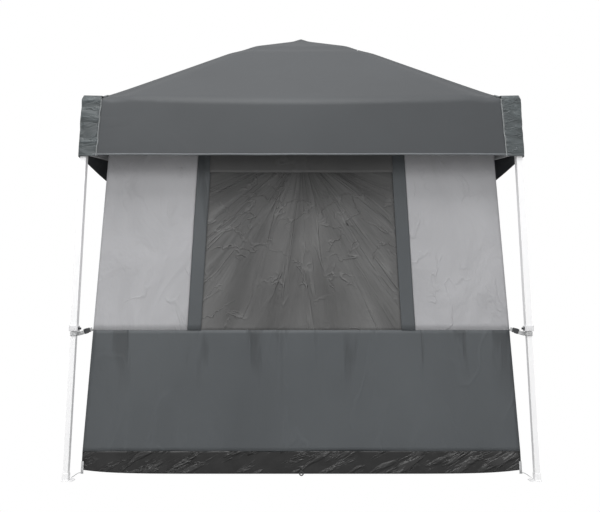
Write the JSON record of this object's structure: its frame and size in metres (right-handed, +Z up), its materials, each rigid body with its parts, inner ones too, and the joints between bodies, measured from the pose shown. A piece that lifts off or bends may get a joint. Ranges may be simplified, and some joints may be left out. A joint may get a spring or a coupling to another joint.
{
  "type": "privacy shower tent",
  "caption": "Square pop-up shelter on four telescoping legs, with a folding truss frame, a peaked canopy and an inner privacy tent with a window, a zipped door and a sewn floor.",
  "frame": {"origin": "on the ground, in the middle of the four feet", "axes": "+Z up, -Y towards the front wall with the large window, +Y towards the door"},
  "size_m": [2.374, 2.374, 2.976],
  "materials": {
    "white_steel": "white powder coat, satin",
    "white_plastic": "moulded, satin",
    "dark_plastic": "moulded, matt",
    "slate_cloth": "coated polyester, faint sheen",
    "silver_cloth": "coated polyester, silver grey",
    "window_mesh": "fine insect mesh with a lining",
    "tub_sheet": "waterproof coated sheet, soft gloss",
    "grey_webbing": "woven webbing"
  },
  "bodies": {
    "leg_fl": {"upper_leg_fl": "white_steel", "corner_bracket_fl": "white_plastic", "leg_lock_fl": "white_plastic", "canopy": "slate_cloth", "tent_floor": "tub_sheet", "tent_wall_front": "slate_cloth", "window_mesh": "window_mesh", "tent_wall_left": "slate_cloth", "tie_straps": "grey_webbing", "strap_buckles": "dark_plastic"},
    "foot_leg_fl": {"lower_leg_fl": "white_steel"},
    "button_fl": {"lock_button_fl": "dark_plastic"},
    "slider_fl": {"slider_fl": "white_plastic"},
    "outer_roof_fl": {"outer_roof_bar_fl": "white_steel"},
    "inner_roof_fl": {"inner_roof_bar_fl": "white_steel"},
    "leg_fr": {"upper_leg_fr": "white_steel", "corner_bracket_fr": "white_plastic", "leg_lock_fr": "white_plastic", "tent_wall_right": "slate_cloth"},
    "foot_leg_fr": {"lower_leg_fr": "white_steel"},
    "button_fr": {"lock_button_fr": "dark_plastic"},
    "slider_fr": {"slider_fr": "white_plastic"},
    "outer_roof_fr": {"outer_roof_bar_fr": "white_steel"},
    "inner_roof_fr": {"inner_roof_bar_fr": "white_steel"},
    "leg_bl": {"upper_leg_bl": "white_steel", "corner_bracket_bl": "white_plastic", "leg_lock_bl": "white_plastic", "tent_wall_back": "slate_cloth"},
    "foot_leg_bl": {"lower_leg_bl": "white_steel"},
    "button_bl": {"lock_button_bl": "dark_plastic"},
    "slider_bl": {"slider_bl": "white_plastic"},
    "outer_roof_bl": {"outer_roof_bar_bl": "white_steel"},
    "inner_roof_bl": {"inner_roof_bar_bl": "white_steel"},
    "leg_br": {"upper_leg_br": "white_steel", "corner_bracket_br": "white_plastic", "leg_lock_br": "white_plastic"},
    "foot_leg_br": {"lower_leg_br": "white_steel"},
    "button_br": {"lock_button_br": "dark_plastic"},
    "slider_br": {"slider_br": "white_plastic"},
    "outer_roof_br": {"outer_roof_bar_br": "white_steel"},
    "inner_roof_br": {"inner_roof_bar_br": "white_steel"},
    "truss_front_high_1": {"truss_front_high_1": "white_steel"},
    "truss_front_low_1": {"truss_front_low_1": "white_steel"},
    "truss_front_high_2": {"truss_front_high_2": "white_steel"},
    "truss_front_low_2": {"truss_front_low_2": "white_steel"},
    "truss_left_high_1": {"truss_left_high_1": "white_steel"},
    "truss_left_low_1": {"truss_left_low_1": "white_steel"},
    "truss_left_high_2": {"truss_left_high_2": "white_steel"},
    "truss_left_low_2": {"truss_left_low_2": "white_steel"},
    "truss_right_high_1": {"truss_right_high_1": "white_steel"},
    "truss_right_low_1": {"truss_right_low_1": "white_steel"},
    "truss_right_high_2": {"truss_right_high_2": "white_steel"},
    "truss_right_low_2": {"truss_right_low_2": "white_steel"},
    "truss_back_high_1": {"truss_back_high_1": "white_steel"},
    "truss_back_low_1": {"truss_back_low_1": "white_steel"},
    "truss_back_high_2": {"truss_back_high_2": "white_steel"},
    "truss_back_low_2": {"truss_back_low_2": "white_steel"},
    "hub": {"hub": "dark_plastic"},
    "door": {"door_flap": "slate_cloth"},
    "zip_pull": {"zip_slider": "dark_plastic"}
  },
  "joints": [
    {"name": "frame_fold", "type": "hinge", "parent": "leg_fl", "child": "truss_front_high_1", "pos_m": [-1.115, -1.165, 1.96], "axis": [0, 1, 0], "range_deg": [0, 72], "deforming": ["canopy", "tent_floor", "tent_wall_front", "window_mesh", "tent_wall_left", "tent_wall_right", "tent_wall_back", "door_flap", "tie_straps", "strap_buckles", "zip_slider"]},
    {"name": "cross_front_1", "type": "hinge", "parent": "truss_front_high_1", "child": "truss_front_low_1", "pos_m": [-0.5575, -1.165, 1.83129], "axis": [0, 1, 0], "range_deg": [-145, 0]},
    {"name": "low_knuckle_front", "type": "hinge", "parent": "truss_front_high_1", "child": "truss_front_high_2", "pos_m": [0, -1.165, 1.70258], "axis": [0, 1, 0], "range_deg": [-145, 0]},
    {"name": "cross_front_2", "type": "hinge", "parent": "truss_front_high_2", "child": "truss_front_low_2", "pos_m": [0.5575, -1.165, 1.83129], "axis": [0, 1, 0], "range_deg": [0, 145]},
    {"name": "leg_pivot_fr", "type": "hinge", "parent": "truss_front_high_2", "child": "leg_fr", "pos_m": [1.115, -1.165, 1.96], "axis": [0, 1, 0], "range_deg": [0, 73]},
    {"name": "slider_pivot_fl", "type": "hinge", "parent": "truss_front_low_1", "child": "slider_fl", "pos_m": [-1.115, -1.165, 1.70258], "axis": [0, 1, 0], "range_deg": [0, 73]},
    {"name": "slider_pivot_fr", "type": "hinge", "parent": "truss_front_low_2", "child": "slider_fr", "pos_m": [1.115, -1.165, 1.70258], "axis": [0, 1, 0], "range_deg": [-73, 0]},
    {"name": "fold_left_high_1", "type": "hinge", "parent": "leg_fl", "child": "truss_left_high_1", "pos_m": [-1.165, -1.115, 1.96], "axis": [-1, 0, 0], "range_deg": [0, 73]},
    {"name": "cross_left_1", "type": "hinge", "parent": "truss_left_high_1", "child": "truss_left_low_1", "pos_m": [-1.165, -0.5575, 1.83129], "axis": [-1, 0, 0], "range_deg": [-145, 0]},
    {"name": "low_knuckle_left", "type": "hinge", "parent": "truss_left_high_1", "child": "truss_left_high_2", "pos_m": [-1.165, 0, 1.70258], "axis": [-1, 0, 0], "range_deg": [-145, 0]},
    {"name": "cross_left_2", "type": "hinge", "parent": "truss_left_high_2", "child": "truss_left_low_2", "pos_m": [-1.165, 0.5575, 1.83129], "axis": [-1, 0, 0], "range_deg": [0, 145]},
    {"name": "leg_pivot_bl", "type": "hinge", "parent": "truss_left_high_2", "child": "leg_bl", "pos_m": [-1.165, 1.115, 1.96], "axis": [-1, 0, 0], "range_deg": [0, 73]},
    {"name": "slider_pivot_bl", "type": "hinge", "parent": "truss_left_low_2", "child": "slider_bl", "pos_m": [-1.165, 1.115, 1.70258], "axis": [-1, 0, 0], "range_deg": [-73, 0]},
    {"name": "fold_right_high_1", "type": "hinge", "parent": "leg_fr", "child": "truss_right_high_1", "pos_m": [1.165, -1.115, 1.96], "axis": [-1, 0, 0], "range_deg": [0, 73]},
    {"name": "cross_right_1", "type": "hinge", "parent": "truss_right_high_1", "child": "truss_right_low_1", "pos_m": [1.165, -0.5575, 1.83129], "axis": [-1, 0, 0], "range_deg": [-145, 0]},
    {"name": "low_knuckle_right", "type": "hinge", "parent": "truss_right_high_1", "child": "truss_right_high_2", "pos_m": [1.165, 0, 1.70258], "axis": [-1, 0, 0], "range_deg": [-145, 0]},
    {"name": "cross_right_2", "type": "hinge", "parent": "truss_right_high_2", "child": "truss_right_low_2", "pos_m": [1.165, 0.5575, 1.83129], "axis": [-1, 0, 0], "range_deg": [0, 145]},
    {"name": "leg_pivot_br", "type": "hinge", "parent": "truss_right_high_2", "child": "leg_br", "pos_m": [1.165, 1.115, 1.96], "axis": [-1, 0, 0], "range_deg": [0, 73]},
    {"name": "slider_pivot_br", "type": "hinge", "parent": "truss_right_low_2", "child": "slider_br", "pos_m": [1.165, 1.115, 1.70258], "axis": [-1, 0, 0], "range_deg": [-73, 0]},
    {"name": "fold_back_high_1", "type": "hinge", "parent": "leg_bl", "child": "truss_back_high_1", "pos_m": [-1.115, 1.165, 1.96], "axis": [0, 1, 0], "range_deg": [0, 73]},
    {"name": "cross_back_1", "type": "hinge", "parent": "truss_back_high_1", "child": "truss_back_low_1", "pos_m": [-0.5575, 1.165, 1.83129], "axis": [0, 1, 0], "range_deg": [-145, 0]},
    {"name": "low_knuckle_back", "type": "hinge", "parent": "truss_back_high_1", "child": "truss_back_high_2", "pos_m": [0, 1.165, 1.70258], "axis": [0, 1, 0], "range_deg": [-145, 0]},
    {"name": "cross_back_2", "type": "hinge", "parent": "truss_back_high_2", "child": "truss_back_low_2", "pos_m": [0.5575, 1.165, 1.83129], "axis": [0, 1, 0], "range_deg": [0, 145]},
    {"name": "roof_bar_pivot_fl", "type": "hinge", "parent": "slider_fl", "child": "outer_roof_fl", "pos_m": [-1.12469, -1.12469, 1.70258], "axis": [0.7071, -0.7071, 0], "range_deg": [0, 45.28]},
    {"name": "knee_fl", "type": "hinge", "parent": "outer_roof_fl", "child": "inner_roof_fl", "pos_m": [-0.39598, -0.39598, 2.66], "axis": [0.7071, -0.7071, 0], "range_deg": [-144.64, 0]},
    {"name": "hub_pivot", "type": "hinge", "parent": "inner_roof_fl", "child": "hub", "pos_m": [-0.02121, -0.02121, 2.80201], "axis": [0.7071, -0.7071, 0], "range_deg": [0, 100.36]},
    {"name": "leg_slide_fl", "type": "slide", "parent": "leg_fl", "child": "foot_leg_fl", "axis": [0, 0, 1], "range_m": [0, 0.58]},
    {"name": "lock_press_fl", "type": "slide", "parent": "leg_fl", "child": "button_fl", "axis": [-1, 0, 0], "range_m": [0, 0.0035], "stiffness_N_per_m": 600, "springref_m": -0.002},
    {"name": "roof_bar_pivot_fr", "type": "hinge", "parent": "slider_fr", "child": "outer_roof_fr", "pos_m": [1.12469, -1.12469, 1.70258], "axis": [0.7071, 0.7071, 0], "range_deg": [0, 45.28]},
    {"name": "knee_fr", "type": "hinge", "parent": "outer_roof_fr", "child": "inner_roof_fr", "pos_m": [0.39598, -0.39598, 2.66], "axis": [0.7071, 0.7071, 0], "range_deg": [-144.64, 0]},
    {"name": "leg_slide_fr", "type": "slide", "parent": "leg_fr", "child": "foot_leg_fr", "axis": [0, 0, 1], "range_m": [0, 0.58]},
    {"name": "lock_press_fr", "type": "slide", "parent": "leg_fr", "child": "button_fr", "axis": [1, 0, 0], "range_m": [0, 0.0035], "stiffness_N_per_m": 600, "springref_m": -0.002},
    {"name": "roof_bar_pivot_bl", "type": "hinge", "parent": "slider_bl", "child": "outer_roof_bl", "pos_m": [-1.12469, 1.12469, 1.70258], "axis": [-0.7071, -0.7071, 0], "range_deg": [0, 45.28]},
    {"name": "knee_bl", "type": "hinge", "parent": "outer_roof_bl", "child": "inner_roof_bl", "pos_m": [-0.39598, 0.39598, 2.66], "axis": [-0.7071, -0.7071, 0], "range_deg": [-144.64, 0]},
    {"name": "leg_slide_bl", "type": "slide", "parent": "leg_bl", "child": "foot_leg_bl", "axis": [0, 0, 1], "range_m": [0, 0.58]},
    {"name": "lock_press_bl", "type": "slide", "parent": "leg_bl", "child": "button_bl", "axis": [-1, 0, 0], "range_m": [0, 0.0035], "stiffness_N_per_m": 600, "springref_m": -0.002},
    {"name": "roof_bar_pivot_br", "type": "hinge", "parent": "slider_br", "child": "outer_roof_br", "pos_m": [1.12469, 1.12469, 1.70258], "axis": [-0.7071, 0.7071, 0], "range_deg": [0, 45.28]},
    {"name": "knee_br", "type": "hinge", "parent": "outer_roof_br", "child": "inner_roof_br", "pos_m": [0.39598, 0.39598, 2.66], "axis": [-0.7071, 0.7071, 0], "range_deg": [-144.64, 0]},
    {"name": "leg_slide_br", "type": "slide", "parent": "leg_br", "child": "foot_leg_br", "axis": [0, 0, 1], "range_m": [0, 0.58]},
    {"name": "lock_press_br", "type": "slide", "parent": "leg_br", "child": "button_br", "axis": [1, 0, 0], "range_m": [0, 0.0035], "stiffness_N_per_m": 600, "springref_m": -0.002},
    {"name": "door_swing", "type": "hinge", "parent": "leg_bl", "child": "door", "pos_m": [-0.43, 1.10589, 0.162], "axis": [0, -0.0254, 0.9997], "range_deg": [0, 110]},
    {"name": "zip_run", "type": "slide", "parent": "leg_bl", "child": "zip_pull", "axis": [0, -0.0254, 0.9997], "range_m": [0, 1.3044]}
  ],
  "couplings": [
    {"joint": "cross_front_1", "follows": "frame_fold", "ratio": -2},
    {"joint": "low_knuckle_front", "follows": "frame_fold", "ratio": -2},
    {"joint": "cross_front_2", "follows": "frame_fold", "ratio": 2},
    {"joint": "leg_pivot_fr", "follows": "frame_fold", "ratio": 1},
    {"joint": "slider_pivot_fl", "follows": "frame_fold", "ratio": 1},
    {"joint": "slider_pivot_fr", "follows": "frame_fold", "ratio": -1},
    {"joint": "fold_left_high_1", "follows": "frame_fold", "ratio": 1},
    {"joint": "cross_left_1", "follows": "frame_fold", "ratio": -2},
    {"joint": "low_knuckle_left", "follows": "frame_fold", "ratio": -2},
    {"joint": "cross_left_2", "follows": "frame_fold", "ratio": 2},
    {"joint": "leg_pivot_bl", "follows": "frame_fold", "ratio": 1},
    {"joint": "slider_pivot_bl", "follows": "frame_fold", "ratio": -1},
    {"joint": "fold_right_high_1", "follows": "frame_fold", "ratio": 1},
    {"joint": "cross_right_1", "follows": "frame_fold", "ratio": -2},
    {"joint": "low_knuckle_right", "follows": "frame_fold", "ratio": -2},
    {"joint": "cross_right_2", "follows": "frame_fold", "ratio": 2},
    {"joint": "leg_pivot_br", "follows": "frame_fold", "ratio": 1},
    {"joint": "slider_pivot_br", "follows": "frame_fold", "ratio": -1},
    {"joint": "fold_back_high_1", "follows": "frame_fold", "ratio": 1},
    {"joint": "cross_back_1", "follows": "frame_fold", "ratio": -2},
    {"joint": "low_knuckle_back", "follows": "frame_fold", "ratio": -2},
    {"joint": "cross_back_2", "follows": "frame_fold", "ratio": 2},
    {"joint": "roof_bar_pivot_fl", "follows": "frame_fold", "ratio": 0.615},
    {"joint": "knee_fl", "follows": "frame_fold", "ratio": -1.995},
    {"joint": "hub_pivot", "follows": "frame_fold", "ratio": 1.38},
    {"joint": "roof_bar_pivot_fr", "follows": "frame_fold", "ratio": 0.615},
    {"joint": "knee_fr", "follows": "frame_fold", "ratio": -1.995},
    {"joint": "roof_bar_pivot_bl", "follows": "frame_fold", "ratio": 0.615},
    {"joint": "knee_bl", "follows": "frame_fold", "ratio": -1.995},
    {"joint": "roof_bar_pivot_br", "follows": "frame_fold", "ratio": 0.615},
    {"joint": "knee_br", "follows": "frame_fold", "ratio": -1.995}
  ]
}
